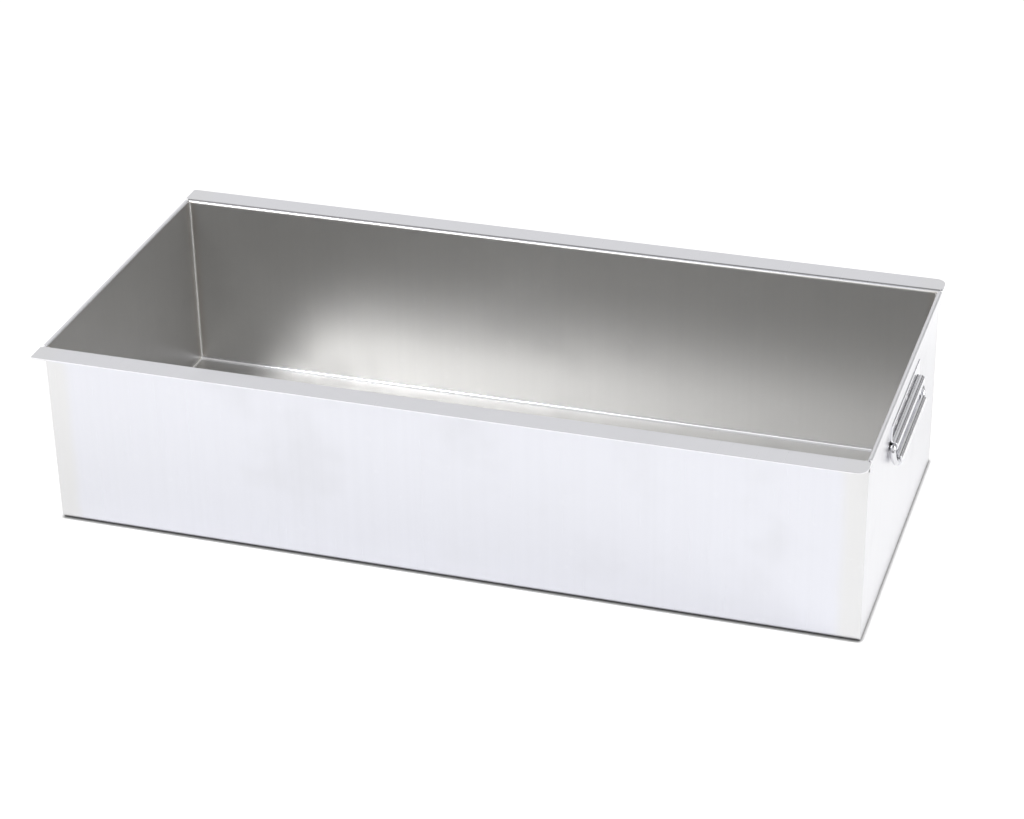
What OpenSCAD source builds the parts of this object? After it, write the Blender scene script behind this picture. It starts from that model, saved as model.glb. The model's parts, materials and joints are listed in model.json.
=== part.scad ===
// Deep rectangular slide-out pan: a folded trough, two hemmed end panels
// and a folding bail handle on a back plate at one end.
// Origin: centre of the floor's underside. +X runs to the handle end, +Z is up.

/* [Pan] */
// Length over the flat outer faces of the two end panels
pan_length = 460; // [300:1:700]
// Width over the outer faces of the two long walls
pan_width = 200; // [140:1:320]
// Height from the floor's underside to the top of the rim
pan_height = 110; // [70:1:200]
// Thickness of the pan's sheet
sheet = 1.2; // [0.8:0.1:1.8]
// Outside radius of the bend between the floor and each long wall
floor_bend = 3; // [2:0.5:8]

/* [Side flanges] */
// How far each flange stands out from its long wall
flange_reach = 14; // [8:0.5:30]
// Outside radius of the bend between each long wall and its flange
flange_bend = 2.4; // [2:0.1:4]
// Radius of each flange's outer corner at the handle end
handle_corner = 6; // [1:0.5:7]
// Radius of each flange's outer corner at the plain end
plain_corner = 1.2; // [0.5:0.1:7]

/* [End panels] */
// Height of the hem folded down over the outside of each end panel
hem_height = 8; // [4:0.5:10]
// Gap between the folded hem and the face that it is folded down over
hem_gap = 0.4; // [0.2:0.1:1]

/* [Handle plate] */
// Width of the back plate, along the end panel
plate_width = 78; // [50:1:110]
// Thickness of the back plate
plate_sheet = 1; // [0.8:0.1:1.5]
// Distance from the top of the rim down to the top of the plate
plate_drop = 12.2; // [11:0.1:30]
// Height of the flat above the pivot bead
plate_flat = 10; // [7:0.5:16]
// Height of the flat below the pivot bead
plate_foot = 4; // [2:0.5:4]
// Radius of the plate's corners
plate_corner = 1; // [0.5:0.1:1.8]

/* [Bail] */
// Diameter of the bail's wire
wire_d = 3.2; // [2.4:0.1:4]
// Distance between the pivot's axis and the grip's axis
bail_drop = 10.7; // [10:0.1:18]
// Radius of the wire's centre line where a leg leaves the pivot
shoulder_bend = 2.6; // [2.2:0.1:3]
// Radius of the wire's centre line where a leg meets the grip
corner_bend = 7; // [4:0.5:7]
// Outside diameter of the sleeve on the grip
sleeve_d = 6.4; // [5.4:0.1:8]

/* [Clearances] */
// Gap at the seams between an end panel and the trough
seam_gap = 0.05; // [0.02:0.01:0.2]
// Radial running clearance of the wire in the pivot bead
pivot_clearance = 0.06; // [0.02:0.01:0.1]
// Radial running clearance of the sleeve on the wire
sleeve_clearance = 0.08; // [0.02:0.01:0.1]
// Gap between each end of the sleeve and the wire's bend
sleeve_end_gap = 0.5; // [0.3:0.1:2]
// Gap between the wire's pivot and the end panel behind it
wall_gap = 0.2; // [0.1:0.1:0.5]
// Gap between the hanging sleeve and the end panel
rest_gap = 0.3; // [0.3:0.1:1]
// Gap between the plate's side edge and the start of the wire's bend
shoulder_gap = 0.3; // [0.2:0.1:1]
// Gap between the two wire ends inside the pivot bead
wire_end_gap = 8; // [2:1:20]

/* [Hidden] */
$fn = 64;

// Pan
wall_x = pan_length / 2;
wall_y = pan_width / 2;
floor_inner_bend = floor_bend - sheet;
flange_inner_bend = flange_bend - sheet;
panel_half = wall_y - sheet - seam_gap;
panel_foot = sheet + seam_gap;
fold_r = sheet + hem_gap / 2;
fold_z = pan_height - fold_r;

// Pivot bead of the handle plate, measured from the end panel's outer face
wire_r = wire_d / 2;
bead_bore = wire_r + pivot_clearance;
bead_r = bead_bore + plate_sheet;
bead_fillet = 0.8;
pivot_x = wire_r + wall_gap;
bead_depth = pivot_x + bead_r;
plate_top = pan_height - plate_drop;
pivot_z = plate_top - plate_flat - bead_r;
plate_bottom = pivot_z - bead_r - plate_foot;

// Bail, which hangs with its sleeve just clear of the end panel
sleeve_r = sleeve_d / 2;
leg_y = plate_width / 2 + shoulder_gap + shoulder_bend;
grip_half = leg_y - corner_bend;
hang_tilt = asin((sleeve_r + rest_gap - pivot_x) / bail_drop);

// Quarter ring of sheet in the first quadrant
module bend_section(outer, thickness) {
    intersection() {
        difference() {
            circle(outer);
            circle(outer - thickness);
        }
        square(outer);
    }
}

// Corner filling of radius r in the first quadrant
module fillet_section(r) {
    difference() {
        square(r);
        translate([r, r]) circle(r);
    }
}

// Rectangle from the origin with all four corners rounded
module rounded_rectangle(width, depth, r) {
    translate([r, 0]) square([width - 2 * r, depth]);
    translate([0, r]) square([width, depth - 2 * r]);
    for (x = [r, width - r], y = [r, depth - r])
        translate([x, y]) circle(r);
}

// Lays a section drawn in X and Y upright in Y and Z, extruded along X
module along_x(length) {
    translate([-length / 2, 0, 0])
        rotate([90, 0, 90])
            linear_extrude(length)
                children();
}

// Lays a section drawn in X and Y upright in X and Z, extruded along Y
module along_y(length) {
    translate([0, length / 2, 0])
        rotate([90, 0, 0])
            linear_extrude(length)
                children();
}

// One half of the trough's section, from the middle of the floor to the flange's bend
module trough_half_section() {
    square([wall_y - floor_bend, sheet]);
    translate([wall_y - floor_bend, floor_bend])
        mirror([0, 1])
            bend_section(floor_bend, sheet);
    translate([wall_y - sheet, floor_bend])
        square([sheet, pan_height - floor_bend - flange_bend]);
    translate([wall_y + flange_inner_bend, pan_height - flange_bend])
        mirror([1, 0])
            bend_section(flange_bend, sheet);
}

// Half of one flange's flat, from the middle out over the hem, with its outer corner rounded
module flange_half(corner) {
    length = wall_x + hem_gap + sheet;
    inner = wall_y + flange_inner_bend;
    depth = wall_y + flange_reach - inner;
    translate([0, inner, pan_height - sheet])
        linear_extrude(sheet) {
            square([length, depth - corner]);
            square([length - corner, depth]);
            translate([length - corner, depth - corner])
                circle(corner);
        }
}

module pan_trough() {
    color("silver")
        for (side = [0, 1])
            mirror([0, side, 0]) {
                along_x(pan_length) trough_half_section();
                flange_half(handle_corner);
                mirror([1, 0, 0]) flange_half(plain_corner);
            }
}

// Outline of an end panel below its fold, with its bottom corners following the floor's bends
module panel_outline() {
    r = floor_inner_bend;
    translate([-panel_half, panel_foot + r])
        square([2 * panel_half, fold_z - panel_foot - r]);
    translate([-panel_half + r, panel_foot])
        square([2 * (panel_half - r), r]);
    for (y = [-panel_half + r, panel_half - r])
        translate([y, panel_foot + r])
            circle(r);
}

// End panel with its outer face on the plane x = wall_x and its hem folded outwards
module end_panel() {
    translate([wall_x - sheet / 2, 0, 0])
        along_x(sheet) panel_outline();
    along_y(2 * panel_half) {
        translate([wall_x + hem_gap / 2, fold_z])
            for (side = [0, 1])
                mirror([side, 0])
                    bend_section(fold_r, sheet);
        translate([wall_x + hem_gap, pan_height - hem_height])
            square([sheet, hem_height - fold_r]);
    }
}

module handle_end_panel() {
    color("gainsboro") end_panel();
}

module plain_end_panel() {
    color("gainsboro") mirror([1, 0, 0]) end_panel();
}

// Section of the back plate: flat, pivot bead and foot, with the end panel's face at x = 0
module plate_section() {
    difference() {
        union() {
            translate([0, plate_bottom])
                square([plate_sheet, plate_top - plate_bottom]);
            translate([0, pivot_z - bead_r])
                square([pivot_x, 2 * bead_r]);
            translate([pivot_x, pivot_z]) circle(bead_r);
            translate([plate_sheet, pivot_z + bead_r]) fillet_section(bead_fillet);
            translate([plate_sheet, pivot_z - bead_r])
                mirror([0, 1])
                    fillet_section(bead_fillet);
        }
        translate([pivot_x, pivot_z]) circle(bead_bore);
        translate([-1, pivot_z - bead_bore])
            square([pivot_x + 1, 2 * bead_bore]);
    }
}

module handle_plate() {
    color("lightgray")
        translate([wall_x, 0, 0])
            intersection() {
                along_y(plate_width) plate_section();
                translate([bead_depth / 2, -plate_width / 2, plate_bottom])
                    along_x(bead_depth)
                        rounded_rectangle(plate_width, plate_top - plate_bottom, plate_corner);
            }
}

// Places a piece that is drawn round the pivot's axis, hanging straight down, at its rest
module hang_from_pivot() {
    translate([wall_x + pivot_x, 0, pivot_z])
        rotate([0, -hang_tilt, 0])
            children();
}

// Straight wire along Y from one place to another
module wire_along_y(from, to) {
    translate([0, from, 0])
        rotate([-90, 0, 0])
            cylinder(r = wire_r, h = to - from);
}

// Quarter bend of wire in the Y-Z plane, from +Y towards +Z
module wire_bend(radius) {
    rotate([90, 0, 90])
        rotate_extrude(angle = 90)
            translate([radius, 0])
                circle(wire_r);
}

module bail_half() {
    wire_along_y(wire_end_gap / 2, leg_y - shoulder_bend);
    translate([0, leg_y - shoulder_bend, -shoulder_bend])
        wire_bend(shoulder_bend);
    translate([0, leg_y, corner_bend - bail_drop])
        cylinder(r = wire_r, h = bail_drop - corner_bend - shoulder_bend);
    translate([0, grip_half, corner_bend - bail_drop])
        mirror([0, 0, 1])
            wire_bend(corner_bend);
    translate([0, 0, -bail_drop]) wire_along_y(0, grip_half);
}

module bail_wire() {
    color("darkgray")
        hang_from_pivot()
            for (side = [0, 1])
                mirror([0, side, 0])
                    bail_half();
}

module grip_sleeve() {
    length = 2 * (grip_half - sleeve_end_gap);
    color("gray")
        hang_from_pivot()
            translate([0, -length / 2, -bail_drop])
                rotate([-90, 0, 0])
                    difference() {
                        cylinder(r = sleeve_r, h = length);
                        translate([0, 0, -1])
                            cylinder(r = wire_r + sleeve_clearance, h = length + 2);
                    }
}

pan_trough();
handle_end_panel();
plain_end_panel();
handle_plate();
bail_wire();
grip_sleeve();
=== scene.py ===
import json
import math

import bmesh
import bpy
from mathutils import Matrix, Vector


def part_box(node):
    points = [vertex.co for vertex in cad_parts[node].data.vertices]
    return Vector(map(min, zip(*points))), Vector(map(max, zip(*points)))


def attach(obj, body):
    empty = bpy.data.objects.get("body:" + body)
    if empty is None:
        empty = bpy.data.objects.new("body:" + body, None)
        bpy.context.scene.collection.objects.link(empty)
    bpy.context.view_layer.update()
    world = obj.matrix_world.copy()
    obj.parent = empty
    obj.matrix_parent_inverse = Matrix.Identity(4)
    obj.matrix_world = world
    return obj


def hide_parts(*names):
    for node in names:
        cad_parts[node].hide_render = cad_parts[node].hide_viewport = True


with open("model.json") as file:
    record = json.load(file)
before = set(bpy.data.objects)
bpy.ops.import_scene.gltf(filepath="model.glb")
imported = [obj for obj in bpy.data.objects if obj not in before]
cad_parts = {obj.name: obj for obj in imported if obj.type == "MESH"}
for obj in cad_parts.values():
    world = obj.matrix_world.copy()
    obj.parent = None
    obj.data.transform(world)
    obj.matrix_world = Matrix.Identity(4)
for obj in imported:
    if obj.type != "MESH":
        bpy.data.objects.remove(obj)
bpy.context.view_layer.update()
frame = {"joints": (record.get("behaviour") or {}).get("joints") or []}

# ---------------------------------------------------------------- sizes, in metres

MM = 0.001
QUARTER = math.pi / 2

# Pan. Bends are given by their outside radius, and CUT_EDGE rounds the edges of cut sheet
SHEET = 1.2 * MM
FLOOR_BEND = 3.0 * MM
FLANGE_REACH = 14.0 * MM
FLANGE_BEND = 2.4 * MM
HANDLE_CORNER = 6.0 * MM
PLAIN_CORNER = 1.2 * MM
HEM_HEIGHT = 8.0 * MM
PANEL_CORNER = FLOOR_BEND - SHEET
CUT_EDGE = 0.16 * MM

# Beads of weld inside the pan
WELD_RADIUS = 1.0 * MM
WELD_SINK = 0.3 * MM
WELD_DROP = 1.4 * MM
WELD_RIPPLE = 1.6 * MM
WELD_SWELL = 1.12

# Handle. The wire's bends are given by the radius of its centre line
PLATE_SHEET = 1.0 * MM
PLATE_CORNER = 1.0 * MM
DIMPLE_DEPTH = 0.14 * MM
DIMPLE_BALL = 9.0 * MM
DIMPLE_RISE = 0.6 * MM
DIMPLE_PLACES = (-28.0 * MM, 0, 28.0 * MM)
PIVOT_CLEARANCE = 0.06 * MM
WIRE_RADIUS = 1.6 * MM
WIRE_EDGE = 0.3 * MM
WIRE_END_GAP = 8.0 * MM
SHOULDER_BEND = 2.6 * MM
CORNER_BEND = 7.0 * MM
SLEEVE_CLEARANCE = 0.08 * MM
SLEEVE_EDGE = 0.35 * MM
SEAM_BAND = 0.4 * MM
SEAM_LIP = 0.03 * MM
SEAM_DEPTH = 0.22 * MM

# Steps of the round stretches
BEND_STEPS = 10
HEM_STEPS = 16
PANEL_CORNER_STEPS = 8
WELD_SIDES = 12
WELD_TURN_STEPS = 6
FILLET_STEPS = 6
BEAD_STEPS = 20
PLATE_CORNER_STEPS = 6
WIRE_SIDES = 28
SHOULDER_STEPS = 10
CORNER_STEPS = 14
SLEEVE_SIDES = 64

trough_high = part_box("pan_trough")[1]
panel_low, panel_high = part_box("handle_end_panel")
plate_low, plate_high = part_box("handle_plate")
wire_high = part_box("bail_wire")[1]
sleeve_low, sleeve_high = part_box("grip_sleeve")
joints = {joint["name"]: joint for joint in frame["joints"]}
pivot = Vector(joints["bail_swing"]["pos_m"])
grip = Vector(joints["sleeve_spin"]["pos_m"])

wall_x = plate_low.x
flange_x = trough_high.x
wall_y = trough_high.y - FLANGE_REACH
rim_z = trough_high.z
hem_gap = panel_high.x - wall_x - SHEET
fold_z = rim_z - SHEET - hem_gap / 2
panel_half = panel_high.y
bail_drop = (grip - pivot).length
hang_tilt = math.atan2(grip.x - pivot.x, pivot.z - grip.z)
leg_y = wire_high.y - WIRE_RADIUS

# ---------------------------------------------------------------- camera

SENSOR_WIDTH = 36.0
LENS = 100.04
VIEW_SHIFT = (0.0211, 0.0422)
VIEW_TURN = math.radians(18.667)
VIEW_RISE = math.radians(29.805)
VIEW_ROLL = math.radians(-1.364)
VIEW_DISTANCE = 2.2254
VIEW_TARGET = Vector((-0.1711, 0.4891, -0.2733))
CLIP_START = 0.05
CLIP_END = 60


def add_camera():
    back = Vector((
        math.sin(VIEW_TURN) * math.cos(VIEW_RISE),
        -math.cos(VIEW_TURN) * math.cos(VIEW_RISE),
        math.sin(VIEW_RISE),
    ))
    side = Vector((0, 0, 1)).cross(back).normalized()
    up = back.cross(side)
    rolled_side = math.cos(VIEW_ROLL) * side + math.sin(VIEW_ROLL) * up
    rolled_up = back.cross(rolled_side)
    data = bpy.data.cameras.new("view_camera")
    data.sensor_width = SENSOR_WIDTH
    data.lens = LENS
    data.shift_x, data.shift_y = VIEW_SHIFT
    data.clip_start = CLIP_START
    data.clip_end = CLIP_END
    camera = bpy.data.objects.new("view_camera", data)
    bpy.context.scene.collection.objects.link(camera)
    turned = Matrix((rolled_side, rolled_up, back)).transposed().to_4x4()
    camera.matrix_world = Matrix.Translation(VIEW_TARGET + back * VIEW_DISTANCE) @ turned
    bpy.context.scene.camera = camera


# ---------------------------------------------------------------- modelling helpers

def deselect_all():
    bpy.ops.object.select_all(action="DESELECT")


def make_active(piece):
    deselect_all()
    piece.select_set(True)
    bpy.context.view_layer.objects.active = piece


def begin_edit(piece, mode="EDGE"):
    make_active(piece)
    bpy.ops.object.mode_set(mode="EDIT")
    bpy.ops.mesh.select_mode(type=mode)
    bpy.ops.mesh.select_all(action="DESELECT")


def end_edit():
    bpy.ops.object.mode_set(mode="OBJECT")


def centre_of(element):
    points = [v.co for v in element.verts] if hasattr(element, "verts") else [element.co]
    return sum(points, Vector()) / len(points)


def pick(kind, test):
    """Selects, in edit mode, the verts, edges or faces whose centre and self pass the test."""
    bpy.ops.mesh.select_all(action="DESELECT")
    mesh = bmesh.from_edit_mesh(bpy.context.edit_object.data)
    for element in getattr(mesh, kind):
        if test(centre_of(element), element):
            element.select_set(True)
    bmesh.update_edit_mesh(bpy.context.edit_object.data)


def near(a, b, reach=0.02 * MM):
    return abs(a - b) < reach


def extrude(offset):
    bpy.ops.mesh.extrude_region_move(TRANSFORM_OT_translate={"value": tuple(offset)})


def spin(angle, center, axis, steps):
    """Carries the selection round an axis, anticlockwise as seen with the axis pointing at you."""
    bpy.ops.mesh.spin(steps=steps, angle=-angle, center=tuple(center), axis=axis)


def round_off(affect, radius, steps):
    """Rounds the selected edges, which bends the sheet there, or the selected corners."""
    bpy.ops.mesh.bevel(
        offset_type="OFFSET", offset=radius, segments=steps, profile=0.5, affect=affect,
    )


def set_place(piece):
    """Puts a piece's place, turn and scale into its mesh."""
    make_active(piece)
    bpy.ops.object.transform_apply(location=True, rotation=True, scale=True)


def new_piece(name):
    """Names the primitive that was just added and puts its place into its mesh."""
    piece = bpy.context.object
    piece.name = name
    set_place(piece)
    return piece


def sheet_face(name, location, rotation, size):
    """A flat rectangle of sheet."""
    deselect_all()
    bpy.ops.mesh.primitive_plane_add(size=1, location=location, rotation=rotation)
    bpy.context.object.scale = (size[0], size[1], 1)
    return new_piece(name)


def turn_round(piece):
    """Carries a piece from the handle end of the pan to the plain end."""
    piece.rotation_euler = (0, 0, math.pi)
    set_place(piece)


def clean_normals(piece):
    begin_edit(piece, "VERT")
    bpy.ops.mesh.select_all(action="SELECT")
    bpy.ops.mesh.remove_doubles(threshold=1e-6)
    bpy.ops.mesh.normals_make_consistent(inside=False)
    end_edit()


def apply_modifier(piece, kind, **settings):
    make_active(piece)
    modifier = piece.modifiers.new(kind.lower(), kind)
    for key, value in settings.items():
        setattr(modifier, key, value)
    bpy.ops.object.modifier_apply(modifier=modifier.name)


def thicken(piece, thickness):
    apply_modifier(
        piece, "SOLIDIFY", thickness=thickness, offset=0, use_even_offset=True,
        use_quality_normals=True,
    )


def soften_edges(piece, width, segments=2, angle=50):
    apply_modifier(
        piece, "BEVEL", width=width, segments=segments, limit_method="ANGLE",
        angle_limit=math.radians(angle), harden_normals=False,
    )


def smooth(piece, angle=32):
    make_active(piece)
    bpy.ops.object.shade_smooth_by_angle(angle=math.radians(angle))
    apply_modifier(piece, "WEIGHTED_NORMAL", keep_sharp=True, weight=100)


def put_on(piece, body, material, replaces=None):
    piece.data.name = piece.name
    piece.data.materials.clear()
    piece.data.materials.append(material)
    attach(piece, body)
    if replaces:
        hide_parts(replaces)


# ---------------------------------------------------------------- pan

def runs_along_x(edge):
    start, end = (v.co for v in edge.verts)
    return near(start.y, end.y) and near(start.z, end.z)


def folded_trough(material):
    """Floor, long walls and flanges, folded from one sheet."""
    middle = SHEET / 2
    mid_y = wall_y - middle
    flange_z = rim_z - middle
    bend_end = wall_y - SHEET + FLANGE_BEND

    def at_flange_end(c, x):
        return near(c.x, x) and near(c.z, flange_z) and abs(c.y) > bend_end

    piece = sheet_face("folded_trough", (0, 0, middle), (0, 0, 0), (2 * wall_x, 2 * mid_y))
    begin_edit(piece)
    for side in (1, -1):
        pick("edges", lambda c, e: near(c.y, side * mid_y) and near(c.z, middle))
        extrude((0, 0, flange_z - middle))
        extrude((0, side * (trough_high.y - mid_y), 0))
    for height, radius in ((middle, FLOOR_BEND), (flange_z, FLANGE_BEND)):
        pick("edges", lambda c, e: runs_along_x(e) and near(abs(c.y), mid_y) and near(c.z, height))
        round_off("EDGES", radius - middle, BEND_STEPS)
    # The flat of each flange runs on over the folded hems
    for end in (1, -1):
        pick("edges", lambda c, e: at_flange_end(c, end * wall_x))
        extrude((end * (flange_x - wall_x), 0, 0))
    pick("edges", lambda c, e: at_flange_end(c, wall_x) or at_flange_end(c, -wall_x))
    bpy.ops.mesh.dissolve_edges(use_verts=True)
    for end_x, corner in ((flange_x, HANDLE_CORNER), (-flange_x, PLAIN_CORNER)):
        pick("verts", lambda c, e: near(c.x, end_x) and near(abs(c.y), trough_high.y))
        round_off("VERTICES", corner, BEND_STEPS)
    end_edit()
    clean_normals(piece)
    thicken(piece, SHEET)
    soften_edges(piece, CUT_EDGE)
    smooth(piece)
    put_on(piece, "pan", material, "pan_trough")


def hemmed_end(name, end, material, cad_node):
    """End panel folded outwards over itself along its top edge. end is 1 or -1 along X."""
    foot_z = panel_low.z
    height = fold_z - foot_z
    middle = (wall_x - SHEET / 2, 0, foot_z + height / 2)
    piece = sheet_face(name, middle, (0, QUARTER, 0), (height, 2 * panel_half))
    begin_edit(piece)
    pick("edges", lambda c, e: near(c.z, fold_z))
    spin(math.pi, (wall_x + hem_gap / 2, 0, fold_z), (0, 1, 0), HEM_STEPS)
    extrude((0, 0, rim_z - HEM_HEIGHT - fold_z))
    pick("verts", lambda c, e: near(c.z, foot_z))
    round_off("VERTICES", PANEL_CORNER, PANEL_CORNER_STEPS)
    end_edit()
    clean_normals(piece)
    thicken(piece, SHEET)
    soften_edges(piece, CUT_EDGE)
    if end < 0:
        turn_round(piece)
    smooth(piece)
    put_on(piece, "pan", material, cad_node)


def ring_centre():
    mesh = bmesh.from_edit_mesh(bpy.context.edit_object.data)
    picked = [v.co for v in mesh.verts if v.select]
    return tuple(sum(picked, Vector()) / len(picked))


def weld_run(direction, length):
    """Carries the selected ring on in a straight line, swelling and shrinking at each ripple."""
    ripples = round(length / WELD_RIPPLE)
    step = Vector(direction) * (length / (2 * ripples))
    for swell in (WELD_SWELL, 1 / WELD_SWELL) * ripples:
        extrude(step)
        bpy.ops.transform.resize(value=(swell, swell, swell), center_override=ring_centre())


def corner_weld(name, end, material):
    """Bead of weld inside the pan where an end panel meets the trough: down, across and up."""
    x = wall_x - SHEET - WELD_SINK
    y = panel_half - WELD_SINK
    top = rim_z - WELD_DROP
    turn_y = y - PANEL_CORNER
    turn_z = SHEET + WELD_SINK + PANEL_CORNER
    deselect_all()
    bpy.ops.mesh.primitive_circle_add(
        vertices=WELD_SIDES, radius=WELD_RADIUS, fill_type="NGON", location=(x, y, top),
    )
    piece = new_piece(name)
    begin_edit(piece, "VERT")
    bpy.ops.mesh.select_all(action="SELECT")
    weld_run((0, 0, -1), top - turn_z)
    spin(QUARTER, (x, turn_y, turn_z), (-1, 0, 0), WELD_TURN_STEPS)
    weld_run((0, -1, 0), 2 * turn_y)
    spin(QUARTER, (x, -turn_y, turn_z), (-1, 0, 0), WELD_TURN_STEPS)
    weld_run((0, 0, 1), top - turn_z)
    end_edit()
    clean_normals(piece)
    if end < 0:
        turn_round(piece)
    smooth(piece, 80)
    put_on(piece, "pan", material)


# ---------------------------------------------------------------- handle

def pivot_plate(material):
    """Back plate with the pressed bead that the bail turns in, and its spot welds."""
    middle = PLATE_SHEET / 2
    mid_x = wall_x + middle
    bead = WIRE_RADIUS + PIVOT_CLEARANCE + middle
    fillet = pivot.x - mid_x
    flat_end = pivot.z + bead + fillet
    foot_start = pivot.z - bead - fillet
    height = plate_high.z - flat_end
    piece = sheet_face(
        "pivot_plate", (mid_x, 0, flat_end + height / 2), (0, QUARTER, 0),
        (height, plate_high.y - plate_low.y),
    )
    begin_edit(piece)
    pick("edges", lambda c, e: near(c.z, flat_end))
    spin(-QUARTER, (pivot.x, 0, flat_end), (0, 1, 0), FILLET_STEPS)
    spin(math.pi, (pivot.x, 0, pivot.z), (0, 1, 0), BEAD_STEPS)
    spin(-QUARTER, (pivot.x, 0, foot_start), (0, 1, 0), FILLET_STEPS)
    extrude((0, 0, plate_low.z - foot_start))
    pick("verts", lambda c, e: near(c.z, plate_low.z) or near(c.z, plate_high.z))
    round_off("VERTICES", PLATE_CORNER, PLATE_CORNER_STEPS)
    end_edit()
    clean_normals(piece)
    thicken(piece, PLATE_SHEET)
    soften_edges(piece, CUT_EDGE)
    for place in DIMPLE_PLACES:
        press_dimple(piece, place, flat_end + height / 2 + DIMPLE_RISE)
    smooth(piece)
    put_on(piece, "pan", material, "handle_plate")


def press_dimple(piece, y, z):
    """Round mark that a spot welder's tip leaves in the plate's outer face."""
    deselect_all()
    ball_x = wall_x + PLATE_SHEET + DIMPLE_BALL - DIMPLE_DEPTH
    bpy.ops.mesh.primitive_uv_sphere_add(
        segments=48, ring_count=96, radius=DIMPLE_BALL, location=(ball_x, y, z),
        rotation=(0, QUARTER, 0),
    )
    ball = bpy.context.object
    apply_modifier(piece, "BOOLEAN", operation="DIFFERENCE", object=ball, solver="EXACT")
    bpy.data.objects.remove(ball)


def hang(piece):
    """Turns a piece drawn round the pivot's axis to its rest, and puts its place in its mesh."""
    piece.location = pivot
    piece.rotation_euler = (0, -hang_tilt, 0)
    set_place(piece)


def bent_bail(material):
    """Round wire from one pin, out to a leg, along the grip and back to the other pin."""
    deselect_all()
    bpy.ops.mesh.primitive_circle_add(
        vertices=WIRE_SIDES, radius=WIRE_RADIUS, fill_type="NGON",
        location=(0, WIRE_END_GAP / 2, 0), rotation=(QUARTER, 0, 0),
    )
    piece = new_piece("bent_bail")
    shoulder_y = leg_y - SHOULDER_BEND
    pin = shoulder_y - WIRE_END_GAP / 2
    leg = bail_drop - CORNER_BEND - SHOULDER_BEND
    grip_half = leg_y - CORNER_BEND
    corner_z = CORNER_BEND - bail_drop
    along_x = (1, 0, 0)
    begin_edit(piece, "VERT")
    bpy.ops.mesh.select_all(action="SELECT")
    extrude((0, pin, 0))
    spin(-QUARTER, (0, shoulder_y, -SHOULDER_BEND), along_x, SHOULDER_STEPS)
    extrude((0, 0, -leg))
    spin(-QUARTER, (0, grip_half, corner_z), along_x, CORNER_STEPS)
    extrude((0, -2 * grip_half, 0))
    spin(-QUARTER, (0, -grip_half, corner_z), along_x, CORNER_STEPS)
    extrude((0, 0, leg))
    spin(-QUARTER, (0, -shoulder_y, -SHOULDER_BEND), along_x, SHOULDER_STEPS)
    extrude((0, pin, 0))
    end_edit()
    clean_normals(piece)
    hang(piece)
    soften_edges(piece, WIRE_EDGE, 3)
    smooth(piece)
    put_on(piece, "bail", material, "bail_wire")


def rolled_sleeve(material):
    """Tube rolled from strip, with its butt seam along the inner side."""
    length = sleeve_high.y - sleeve_low.y
    outer = (sleeve_high.z - sleeve_low.z) / 2
    inner = WIRE_RADIUS + SLEEVE_CLEARANCE

    def on_seam(c):
        rise = c.z + bail_drop
        outside = math.hypot(c.x, rise) > (inner + outer) / 2
        return outside and c.x < 0 and near(c.y, 0) and 0 < rise < SEAM_BAND

    deselect_all()
    bpy.ops.mesh.primitive_cylinder_add(
        vertices=SLEEVE_SIDES, radius=outer, depth=length, end_fill_type="NGON",
        location=(0, 0, -bail_drop), rotation=(QUARTER, 0, 0),
    )
    piece = new_piece("rolled_sleeve")
    begin_edit(piece, "FACE")
    # The ends are inset to the bore and joined through the middle
    pick("faces", lambda c, f: near(abs(c.y), length / 2))
    bpy.ops.mesh.inset(thickness=outer - inner, use_even_offset=True)
    bpy.ops.mesh.bridge_edge_loops()
    pick("faces", lambda c, f: on_seam(c))
    bpy.ops.mesh.inset(thickness=SEAM_LIP, use_even_offset=True)
    bpy.ops.transform.shrink_fatten(value=-SEAM_DEPTH)
    end_edit()
    clean_normals(piece)
    hang(piece)
    soften_edges(piece, SLEEVE_EDGE, 4, 60)
    smooth(piece)
    put_on(piece, "sleeve", material, "grip_sleeve")


# ---------------------------------------------------------------- node helpers

FLOAT = "NodeSocketFloat"
VECTOR = "NodeSocketVector"
# The two inputs and the output of a Mix node, for each kind of data
MIX_SOCKETS = {"FLOAT": (2, 3, 0), "RGBA": (6, 7, 2)}


def add_node(tree, kind, **settings):
    made = tree.nodes.new(kind)
    for key, value in settings.items():
        setattr(made, key, value)
    return made


def feed(tree, socket, value):
    """Links an output to a socket, or writes a plain value in it."""
    if isinstance(value, bpy.types.NodeSocket):
        tree.links.new(value, socket)
    else:
        socket.default_value = value


def calc(tree, operation, *values, clamp=False):
    made = add_node(tree, "ShaderNodeMath", operation=operation, use_clamp=clamp)
    for socket, value in zip(made.inputs, values):
        feed(tree, socket, value)
    return made.outputs[0]


def product(tree, first, *others):
    for other in others:
        first = calc(tree, "MULTIPLY", first, other)
    return first


def inverse(tree, mask):
    return calc(tree, "SUBTRACT", 1.0, mask)


def size_of(tree, value):
    return calc(tree, "ABSOLUTE", value)


def add_share(tree, value, mask, share):
    """The value with a share of the mask added to it."""
    return calc(tree, "MULTIPLY_ADD", mask, share, value)


def ramp(tree, value, low, high, to_low=0.0, to_high=1.0):
    made = add_node(tree, "ShaderNodeMapRange", interpolation_type="SMOOTHSTEP")
    for socket, entry in zip(made.inputs, (value, low, high, to_low, to_high)):
        feed(tree, socket, entry)
    return made.outputs["Result"]


def stretch(tree, vector, scale):
    made = add_node(tree, "ShaderNodeVectorMath", operation="MULTIPLY")
    feed(tree, made.inputs[0], vector)
    feed(tree, made.inputs[1], scale)
    return made.outputs[0]


def split(tree, vector):
    made = add_node(tree, "ShaderNodeSeparateXYZ")
    feed(tree, made.inputs[0], vector)
    return made.outputs


def noise(tree, vector, scale, detail=3.0, roughness=0.55):
    made = add_node(tree, "ShaderNodeTexNoise")
    feed(tree, made.inputs["Vector"], vector)
    feed(tree, made.inputs["Scale"], scale)
    feed(tree, made.inputs["Detail"], detail)
    feed(tree, made.inputs["Roughness"], roughness)
    return made.outputs["Fac"]


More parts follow.
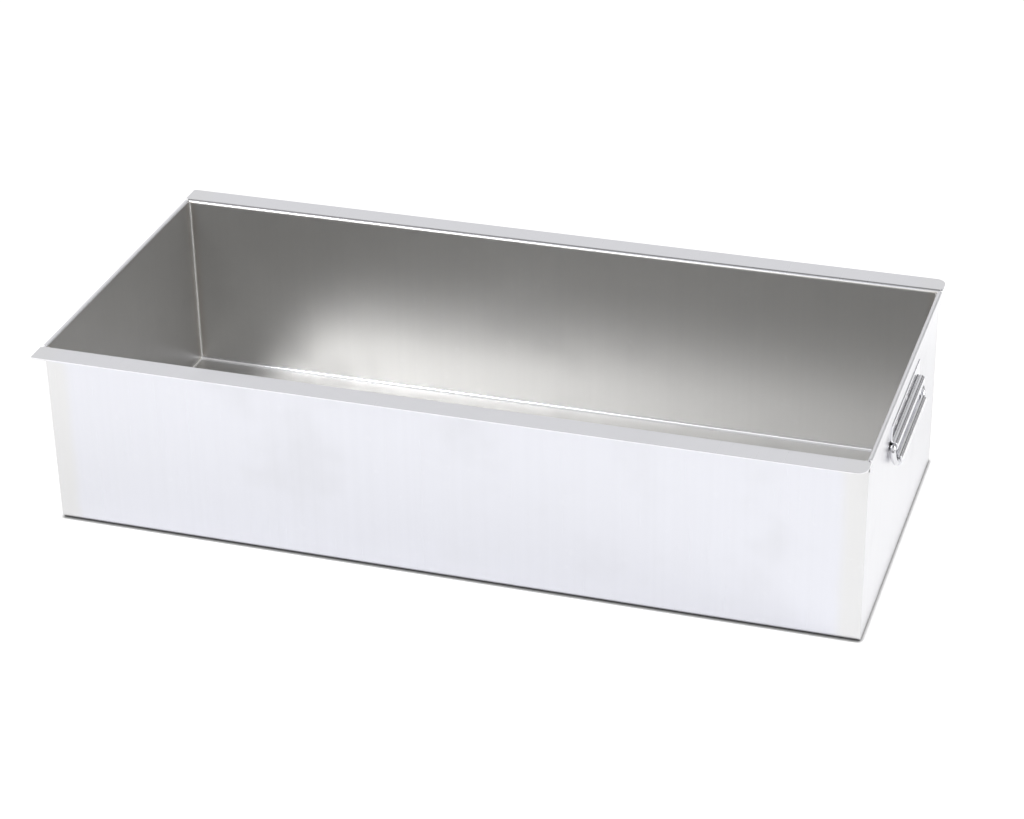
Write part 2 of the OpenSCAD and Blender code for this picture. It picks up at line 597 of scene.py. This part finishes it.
def mix(tree, kind, mask, first, second):
    made = add_node(tree, "ShaderNodeMix", data_type=kind)
    first_socket, second_socket, result = MIX_SOCKETS[kind]
    feed(tree, made.inputs["Factor"], mask)
    feed(tree, made.inputs[first_socket], first)
    feed(tree, made.inputs[second_socket], second)
    return made.outputs[result]


def paint(tree, colour, *layers):
    """Lays colours over the first one, each with its mask and how far it covers."""
    for mask, share, over in layers:
        colour = mix(tree, "RGBA", product(tree, mask, share), colour, over)
    return colour


def bump(tree, shader, *layers):
    """Adds up height layers, each with its depth in metres."""
    normal = None
    for height, depth in layers:
        made = add_node(tree, "ShaderNodeBump")
        made.inputs["Strength"].default_value = 1.0
        made.inputs["Distance"].default_value = depth
        feed(tree, made.inputs["Height"], height)
        if normal is not None:
            feed(tree, made.inputs["Normal"], normal)
        normal = made.outputs["Normal"]
    feed(tree, shader.inputs["Normal"], normal)


# ---------------------------------------------------------------- effects that materials share

# Ranges of noise that show as a mark. Scales are per metre, or times the scale that is given
COARSE_GRAIN = 0.09
SMUDGE_RANGE = (0.52, 0.78)
SCUFF_RANGE = (0.60, 0.80)
SCUFF_FINENESS = 9.0
BAND_GRAIN = 260.0
BAND_FADE = (1.0, 0.3)


def new_group(name, inputs, outputs):
    tree = bpy.data.node_groups.new(name, "ShaderNodeTree")
    for label, kind, default in inputs:
        socket = tree.interface.new_socket(name=label, in_out="INPUT", socket_type=kind)
        if default is not None:
            socket.default_value = default
    for label in outputs:
        tree.interface.new_socket(name=label, in_out="OUTPUT", socket_type=FLOAT)
    return tree, add_node(tree, "NodeGroupInput"), add_node(tree, "NodeGroupOutput")


def use_group(tree, shared, **values):
    made = add_node(tree, "ShaderNodeGroup", node_tree=shared)
    for key, value in values.items():
        feed(tree, made.inputs[key], value)
    return made.outputs


def make_grain():
    """Fine streaks left by rolling or polishing, drawn out across the Stretch vector."""
    tree, given, result = new_group(
        "rolling_grain",
        (("Place", VECTOR, None), ("Stretch", VECTOR, (1.0, 1.0, 1.0))),
        ("Fine", "Coarse"),
    )
    drawn = stretch(tree, given.outputs["Place"], given.outputs["Stretch"])
    fine = noise(tree, drawn, 1.0, detail=4.0, roughness=0.6)
    coarse = noise(tree, drawn, COARSE_GRAIN, detail=3.0, roughness=0.5)
    feed(tree, result.inputs["Fine"], fine)
    feed(tree, result.inputs["Coarse"], coarse)
    return tree


def make_marks():
    """Soft smudges from handling, and much finer scuffs."""
    tree, given, result = new_group(
        "handling_marks",
        (("Place", VECTOR, None), ("Spread", FLOAT, 20.0)),
        ("Smudge", "Scuff"),
    )
    place = given.outputs["Place"]
    spread = given.outputs["Spread"]
    finer = product(tree, spread, SCUFF_FINENESS)
    broad = noise(tree, place, spread, detail=3.0, roughness=0.6)
    small = noise(tree, place, finer, detail=4.0, roughness=0.65)
    feed(tree, result.inputs["Smudge"], ramp(tree, broad, *SMUDGE_RANGE))
    feed(tree, result.inputs["Scuff"], ramp(tree, small, *SCUFF_RANGE))
    return tree


def make_waves():
    """Slow waviness of thin sheet."""
    tree, given, result = new_group(
        "sheet_waves", (("Place", VECTOR, None), ("Spread", FLOAT, 7.0)), ("Height",),
    )
    place = given.outputs["Place"]
    height = noise(tree, place, given.outputs["Spread"], detail=1.0, roughness=0.4)
    feed(tree, result.inputs["Height"], height)
    return tree


def make_wear_and_highlight_band():
    """Band next to a height, broken up by noise: worn sheet at the pan's foot, painted highlight
    along the rim.
    """
    tree, given, result = new_group(
        "rubbed_band",
        (("Place", VECTOR, None), ("Level", FLOAT, 0.0), ("Reach", FLOAT, 0.002)),
        ("Mask",),
    )
    place = given.outputs["Place"]
    away = size_of(tree, calc(tree, "SUBTRACT", split(tree, place)["Z"], given.outputs["Level"]))
    share = calc(tree, "DIVIDE", away, given.outputs["Reach"])
    grain = noise(tree, place, BAND_GRAIN, detail=3.0, roughness=0.6)
    broken = calc(tree, "ADD", share, calc(tree, "SUBTRACT", grain, 0.5))
    feed(tree, result.inputs["Mask"], ramp(tree, broken, *BAND_FADE))
    return tree


# ---------------------------------------------------------------- where the sheet differs

END_BAND_WIDTH = 13.0 * MM
END_BAND_FADE = 8.0 * MM
END_BAND_WANDER = 6.0 * MM
END_BAND_GRAIN = 22.0
TINT_REACH = 7.0 * MM
SLIT_FADE = 0.5 * MM
RIM_SKIN = 1.0 * MM
FLOOR_SLACK = 0.2 * MM
FACE_SLACK = 0.05 * MM


def inside_mask(tree, parts):
    """1 on the faces that look into the pan, 0 on the outer faces and the flanges."""
    return product(
        tree,
        calc(tree, "LESS_THAN", size_of(tree, parts["Y"]), wall_y - SHEET / 2),
        calc(tree, "LESS_THAN", size_of(tree, parts["X"]), wall_x - SHEET / 2),
        calc(tree, "GREATER_THAN", parts["Z"], SHEET / 2),
        calc(tree, "LESS_THAN", parts["Z"], rim_z - RIM_SKIN),
    )


def end_band_mask(tree, place, parts, inside):
    """Bands at both ends of the outer long walls, painted greyer and warmer, with a wandering
    inner edge.
    """
    wander = noise(tree, place, END_BAND_GRAIN, detail=2.0, roughness=0.5)
    along = add_share(tree, size_of(tree, parts["X"]), wander, END_BAND_WANDER)
    start = wall_x - END_BAND_WIDTH
    return product(tree, ramp(tree, along, start, start + END_BAND_FADE), inverse(tree, inside))


def bend_highlight_mask(tree, parts, inside):
    """The inner side of the floor's bends, painted lighter as a highlight line and made smoother.
    """
    beside = calc(tree, "GREATER_THAN", size_of(tree, parts["Y"]), wall_y - FLOOR_BEND)
    low = calc(tree, "LESS_THAN", parts["Z"], FLOOR_BEND)
    return product(tree, inside, beside, low)


def floor_mask(tree, parts, inside, bends):
    """The inner face of the floor, painted darker and made rougher."""
    low = calc(tree, "LESS_THAN", parts["Z"], SHEET + FLOOR_SLACK)
    return product(tree, low, calc(tree, "SUBTRACT", inside, bends))


def slit_mask(tree, parts):
    """The faces shut in by a folded hem, painted near black: painted shade in the slit, with some
    grime.
    """
    along = size_of(tree, parts["X"])
    hem_foot = rim_z - HEM_HEIGHT
    return product(
        tree,
        calc(tree, "GREATER_THAN", along, wall_x - FACE_SLACK),
        calc(tree, "LESS_THAN", along, wall_x + hem_gap + FACE_SLACK),
        ramp(tree, parts["Z"], hem_foot - SLIT_FADE, hem_foot),
        calc(tree, "LESS_THAN", parts["Z"], rim_z - 0.8 * SHEET),
    )


def tint_mask(tree, parts, inside, seam_axis, seam_place):
    """Heat colour beside the corner welds, inside the pan."""
    beside = size_of(tree, parts[seam_axis])
    return product(tree, ramp(tree, beside, seam_place - TINT_REACH, seam_place), inside)


# ---------------------------------------------------------------- materials

SHEET_OUTSIDE = (0.712, 0.717, 0.762, 1)
# The end panels' outer faces are painted lighter than the same sheet on the long walls: painted
# light
PANEL_OUTSIDE_LIT = (0.780, 0.780, 0.800, 1)
# Inside of the same sheet, painted darker and warmer: painted shade inside the pan
SHEET_INSIDE_SHADED = (0.684, 0.679, 0.670, 1)
SHEET_END_BAND = (0.700, 0.697, 0.688, 1)
SHEET_STREAK = (0.40, 0.40, 0.40, 1)
SHEET_SMUDGE = (0.52, 0.52, 0.52, 1)
# Light colour for real scuffs, and for the painted highlights along the rim and the floor's bends
SHEET_SCUFF_AND_HIGHLIGHT = (0.90, 0.90, 0.93, 1)
HEAT_TINT = (0.56, 0.50, 0.44, 1)
# Near black: painted shade, with some grime, for the slit inside each folded hem
HEM_SLIT_SHADE_AND_GRIME = (0.05, 0.05, 0.05, 1)
WELD_BRIGHT = (0.97, 0.97, 0.96, 1)
WELD_DULL = (0.84, 0.83, 0.81, 1)
PLATE_BRIGHT = (0.80, 0.80, 0.83, 1)
SLEEVE_BRIGHT = (0.80, 0.80, 0.82, 1)
POLISH_DULL = (0.62, 0.62, 0.64, 1)
WIRE_BRIGHT = (0.72, 0.72, 0.74, 1)
WIRE_DULL = (0.52, 0.52, 0.54, 1)

# How far each kind of mark covers the sheet's colour, and how much roughness it adds
COVER = {
    "end_band": 0.8, "streak": 0.03, "smudge": 0.16, "scuff": 0.12, "tint": 0.45, "rim": 0.7,
    "slit": 1.0, "bends": 0.9, "floor": 0.6,
}
ROUGHEN = {
    "inside": 0.06, "smudge": 0.07, "scuff": 0.05, "foot": 0.12, "bends": -0.14, "floor": 0.07,
}
POLISH_COVER = {"streak": 0.25, "smudge": 0.5}
POLISH_ROUGHEN = {"lines": 0.05, "smudge": 0.06, "scuff": 0.08}
WELD_COVER = 0.4

SHEET_GLOSS = (0.27, 0.32)
WELD_GLOSS = (0.16, 0.30)
WELD_METALLIC = 0.9
PLATE_GLOSS = 0.07
WIRE_GLOSS = 0.09
SLEEVE_GLOSS = 0.10

# Scales per metre. The grain has one across its streaks and one along them
FINE = 2600.0
LONG = 14.0
SHEET_MARKS = 16.0
POLISH_MARKS = 70.0
WELD_MARKS = 90.0
WELD_GRAIN = 2400.0
SHEET_WAVES = 6.0

GRAIN_DEPTH = 0.0006 * MM
WAVE_DEPTH = 0.35 * MM
WELD_GRAIN_DEPTH = 0.01 * MM
FOOT_REACH = 3.2 * MM
RIM_REACH = 0.9 * MM


def new_material(name):
    made = bpy.data.materials.new(name)
    made.use_nodes = True
    tree = made.node_tree
    shader = tree.nodes["Principled BSDF"]
    shader.inputs["Metallic"].default_value = 1.0
    place = add_node(tree, "ShaderNodeTexCoord").outputs["Object"]
    return made, tree, shader, place


def rolled_sheet(name, groups, outside, stretch_by, seam_axis, seam_place):
    """Satin mill sheet. The corner welds lie at seam_place along seam_axis, on both sides."""
    made, tree, shader, place = new_material(name)
    grain = use_group(tree, groups["grain"], Place=place, Stretch=stretch_by)
    marks = use_group(tree, groups["marks"], Place=place, Spread=SHEET_MARKS)
    waves = use_group(tree, groups["waves"], Place=place, Spread=SHEET_WAVES)
    foot = use_group(tree, groups["rubbed"], Place=place, Level=0.0, Reach=FOOT_REACH)
    # Painted highlight along the rim, which takes in the flange tops and hem tops
    rim = use_group(tree, groups["rubbed"], Place=place, Level=rim_z, Reach=RIM_REACH)
    parts = split(tree, place)
    inside = inside_mask(tree, parts)
    bends = bend_highlight_mask(tree, parts, inside)
    darker_floor = floor_mask(tree, parts, inside, bends)
    tint = tint_mask(tree, parts, inside, seam_axis, seam_place)
    # The faces inside the pan take the darker colour: painted shade
    colour = mix(tree, "RGBA", inside, outside, SHEET_INSIDE_SHADED)
    if seam_axis == "X":
        # Greyer, warmer bands at both ends of the outer long walls
        end_band = end_band_mask(tree, place, parts, inside)
        colour = paint(tree, colour, (end_band, COVER["end_band"], SHEET_END_BAND))
    colour = paint(
        tree, colour,
        (ramp(tree, grain["Coarse"], 0.3, 0.7), COVER["streak"], SHEET_STREAK),
        (marks["Smudge"], COVER["smudge"], SHEET_SMUDGE),
        (marks["Scuff"], COVER["scuff"], SHEET_SCUFF_AND_HIGHLIGHT),
        (tint, COVER["tint"], HEAT_TINT),
        # Painted highlight along the rim and over the flanges
        (rim["Mask"], COVER["rim"], SHEET_SCUFF_AND_HIGHLIGHT),
    )
    # Painted shade, with some grime, in the slit inside each folded hem
    if seam_axis == "Y":
        colour = paint(tree, colour, (slit_mask(tree, parts), COVER["slit"], HEM_SLIT_SHADE_AND_GRIME))
    colour = paint(
        tree, colour,
        # Painted highlight along the inner side of the floor's bends
        (bends, COVER["bends"], SHEET_SCUFF_AND_HIGHLIGHT),
        (darker_floor, COVER["floor"], SHEET_SMUDGE),
    )
    feed(tree, shader.inputs["Base Color"], colour)
    outer_foot = product(tree, foot["Mask"], inverse(tree, inside))
    roughness = ramp(tree, grain["Fine"], 0.2, 0.8, *SHEET_GLOSS)
    roughness = add_share(tree, roughness, inside, ROUGHEN["inside"])
    roughness = add_share(tree, roughness, marks["Smudge"], ROUGHEN["smudge"])
    roughness = add_share(tree, roughness, marks["Scuff"], ROUGHEN["scuff"])
    roughness = add_share(tree, roughness, outer_foot, ROUGHEN["foot"])
    roughness = add_share(tree, roughness, bends, ROUGHEN["bends"])
    roughness = add_share(tree, roughness, darker_floor, ROUGHEN["floor"])
    feed(tree, shader.inputs["Roughness"], roughness)
    bump(tree, shader, (grain["Fine"], GRAIN_DEPTH), (waves["Height"], WAVE_DEPTH))
    return made


def weld_metal(groups):
    """Bright metal of the weld beads, duller in patches."""
    made, tree, shader, place = new_material("weld_metal")
    marks = use_group(tree, groups["marks"], Place=place, Spread=WELD_MARKS)
    colour = paint(tree, WELD_BRIGHT, (marks["Smudge"], WELD_COVER, WELD_DULL))
    feed(tree, shader.inputs["Base Color"], colour)
    shader.inputs["Metallic"].default_value = WELD_METALLIC
    feed(tree, shader.inputs["Roughness"], ramp(tree, marks["Scuff"], 0.0, 1.0, *WELD_GLOSS))
    fine = noise(tree, place, WELD_GRAIN, detail=3.0, roughness=0.6)
    bump(tree, shader, (fine, WELD_GRAIN_DEPTH))
    return made


def polished(name, groups, bright, dull, gloss, stretch_by):
    """Bright polished steel with fine polishing lines and finger marks."""
    made, tree, shader, place = new_material(name)
    lines = use_group(tree, groups["grain"], Place=place, Stretch=stretch_by)
    marks = use_group(tree, groups["marks"], Place=place, Spread=POLISH_MARKS)
    mask = ramp(tree, lines["Coarse"], 0.4, 0.8, 0.0, POLISH_COVER["streak"])
    mask = add_share(tree, mask, marks["Smudge"], POLISH_COVER["smudge"])
    feed(tree, shader.inputs["Base Color"], mix(tree, "RGBA", mask, bright, dull))
    duller = gloss + POLISH_ROUGHEN["lines"]
    roughness = ramp(tree, lines["Fine"], 0.25, 0.75, gloss, duller)
    roughness = add_share(tree, roughness, marks["Smudge"], POLISH_ROUGHEN["smudge"])
    roughness = add_share(tree, roughness, marks["Scuff"], POLISH_ROUGHEN["scuff"])
    feed(tree, shader.inputs["Roughness"], roughness)
    bump(tree, shader, (lines["Fine"], GRAIN_DEPTH))
    return made


# ---------------------------------------------------------------- studio

FLOOR_SIZE = 40
FLOOR_DROP = 0.25 * MM
FLOOR_PALE = (0.78, 0.78, 0.78, 1)
FLOOR_GLOW = 0.44
# Floor colour for the painted contact shade under the pan
PAINTED_CONTACT_SHADE = (0.1, 0.1, 0.1, 1)
CONTACT_REACH = 2.4 * MM
CONTACT_FALLOFF = 2.0

# Ranges along one axis of the direction that the world is seen in, which has a length of 1
CEILING_RISE = (0.71, 0.91)
CEILING_REAR = (-0.26, 0.06)
CEILING_DARKNESS = 0.90
FRONT_FADE = (-0.75, -0.45)
FRONT_LEVEL = 0.5
BOARD_SIDE = (0.12, 0.24)
BOARD_REAR = (0.1, 0.3)
BOARD_DARKNESS = 0.94
BOARD_CORE = 0.7
# Each board's height and half its breadth
DARK_BOARDS = ((0.04, 0.045), (0.22, 0.05), (0.42, 0.06))
SKY_LEVEL = 0.75

# Name, place, aim, size and power in watts
SOFTBOXES = (
    ("front_left_softbox", (-0.75, -1.25, 1.15), (-0.12, 0.09, 0.02), (0.4, 0.4), 11.2),
    ("front_strip", (0.15, -1.45, 1.45), (0, 0, 0), (2.4, 0.4), 3.5),
    ("right_softbox", (1.6, 0.5, 0.9), (0.25, 0, 0), (0.8, 0.8), 12.0),
)


def add_floor():
    """Pale floor, shown white where no shadow falls, with painted contact shade where the pan
    stands close above it.
    """
    deselect_all()
    bpy.ops.mesh.primitive_plane_add(size=FLOOR_SIZE, location=(0, 0, -FLOOR_DROP))
    floor = bpy.context.object
    floor.name = "studio_floor"
    made = bpy.data.materials.new("studio_floor")
    made.use_nodes = True
    tree = made.node_tree
    tree.nodes.clear()
    rays = add_node(tree, "ShaderNodeLightPath")
    seen = calc(tree, "ADD", rays.outputs["Is Camera Ray"], rays.outputs["Is Glossy Ray"])
    seen = calc(tree, "ADD", seen, rays.outputs["Is Transmission Ray"], clamp=True)
    # Ambient occlusion paints contact shade into the floor's colour and glow near the pan
    close = add_node(tree, "ShaderNodeAmbientOcclusion", samples=12)
    close.inputs["Distance"].default_value = CONTACT_REACH
    open_share = calc(tree, "POWER", close.outputs["AO"], CONTACT_FALLOFF)
    paper = add_node(tree, "ShaderNodeBsdfDiffuse")
    feed(tree, paper.inputs["Color"], mix(tree, "RGBA", open_share, PAINTED_CONTACT_SHADE, FLOOR_PALE))
    glow = add_node(tree, "ShaderNodeEmission")
    feed(tree, glow.inputs["Strength"], product(tree, seen, FLOOR_GLOW, open_share))
    both = add_node(tree, "ShaderNodeAddShader")
    tree.links.new(paper.outputs[0], both.inputs[0])
    tree.links.new(glow.outputs[0], both.inputs[1])
    out = add_node(tree, "ShaderNodeOutputMaterial")
    tree.links.new(both.outputs[0], out.inputs["Surface"])
    floor.data.materials.append(made)


def darken(tree, level, mask, darkness):
    return product(tree, level, inverse(tree, product(tree, mask, darkness)))


def add_world():
    """White walls, and a ceiling that is dark at the rear, which gives bends their lines."""
    world = bpy.data.worlds.new("studio")
    bpy.context.scene.world = world
    world.use_nodes = True
    tree = world.node_tree
    tree.nodes.clear()
    parts = split(tree, add_node(tree, "ShaderNodeTexCoord").outputs["Generated"])
    high = ramp(tree, parts["Z"], *CEILING_RISE)
    ceiling = product(tree, high, ramp(tree, parts["Y"], *CEILING_REAR))
    level = darken(tree, 1.0, ceiling, CEILING_DARKNESS)
    level = product(tree, level, ramp(tree, parts["Y"], *FRONT_FADE, FRONT_LEVEL, 1.0))
    # Dark boards behind the handle's end give round and polished metal its dark lines
    beside = ramp(tree, parts["X"], *BOARD_SIDE)
    rear = ramp(tree, parts["Y"], *BOARD_REAR)
    for height, half in DARK_BOARDS:
        away = size_of(tree, calc(tree, "SUBTRACT", parts["Z"], height))
        board = product(tree, ramp(tree, away, half, BOARD_CORE * half), beside, rear)
        level = darken(tree, level, board, BOARD_DARKNESS)
    rays = add_node(tree, "ShaderNodeLightPath").outputs
    shown = calc(tree, "ADD", rays["Is Glossy Ray"], rays["Is Transmission Ray"], clamp=True)
    strength = mix(tree, "FLOAT", shown, SKY_LEVEL, level)
    strength = mix(tree, "FLOAT", rays["Is Camera Ray"], strength, 1.0)
    sky = add_node(tree, "ShaderNodeBackground")
    feed(tree, sky.inputs["Strength"], strength)
    out = add_node(tree, "ShaderNodeOutputWorld")
    tree.links.new(sky.outputs[0], out.inputs["Surface"])


def add_softbox(name, place, aim, size, power):
    data = bpy.data.lights.new(name, "AREA")
    data.shape = "RECTANGLE"
    data.size, data.size_y = size
    data.energy = power
    lamp = bpy.data.objects.new(name, data)
    bpy.context.scene.collection.objects.link(lamp)
    lamp.location = place
    lamp.rotation_euler = (Vector(place) - Vector(aim)).to_track_quat("Z", "Y").to_euler()


# ---------------------------------------------------------------- the whole scene

add_camera()

groups = {
    "grain": make_grain(),
    "marks": make_marks(),
    "waves": make_waves(),
    "rubbed": make_wear_and_highlight_band(),
}
trough_metal = rolled_sheet(
    "trough_sheet", groups, SHEET_OUTSIDE, (FINE, LONG, LONG), "X", wall_x - SHEET,
)
panel_metal = rolled_sheet(
    "end_panel_sheet", groups, PANEL_OUTSIDE_LIT, (LONG, FINE, LONG), "Y", panel_half,
)
bead_metal = weld_metal(groups)
plate_metal = polished(
    "polished_plate", groups, PLATE_BRIGHT, POLISH_DULL, PLATE_GLOSS, (LONG, LONG, FINE),
)
wire_metal = polished(
    "polished_wire", groups, WIRE_BRIGHT, WIRE_DULL, WIRE_GLOSS, (FINE, LONG, FINE),
)
sleeve_metal = polished(
    "polished_sleeve", groups, SLEEVE_BRIGHT, POLISH_DULL, SLEEVE_GLOSS, (FINE, LONG, FINE),
)

folded_trough(trough_metal)
hemmed_end("hemmed_handle_end", 1, panel_metal, "handle_end_panel")
hemmed_end("hemmed_plain_end", -1, panel_metal, "plain_end_panel")
corner_weld("handle_end_weld", 1, bead_metal)
corner_weld("plain_end_weld", -1, bead_metal)
pivot_plate(plate_metal)
bent_bail(wire_metal)
rolled_sleeve(sleeve_metal)

add_floor()
add_world()
for softbox in SOFTBOXES:
    add_softbox(*softbox)
bpy.context.scene.view_settings.view_transform = "Standard"
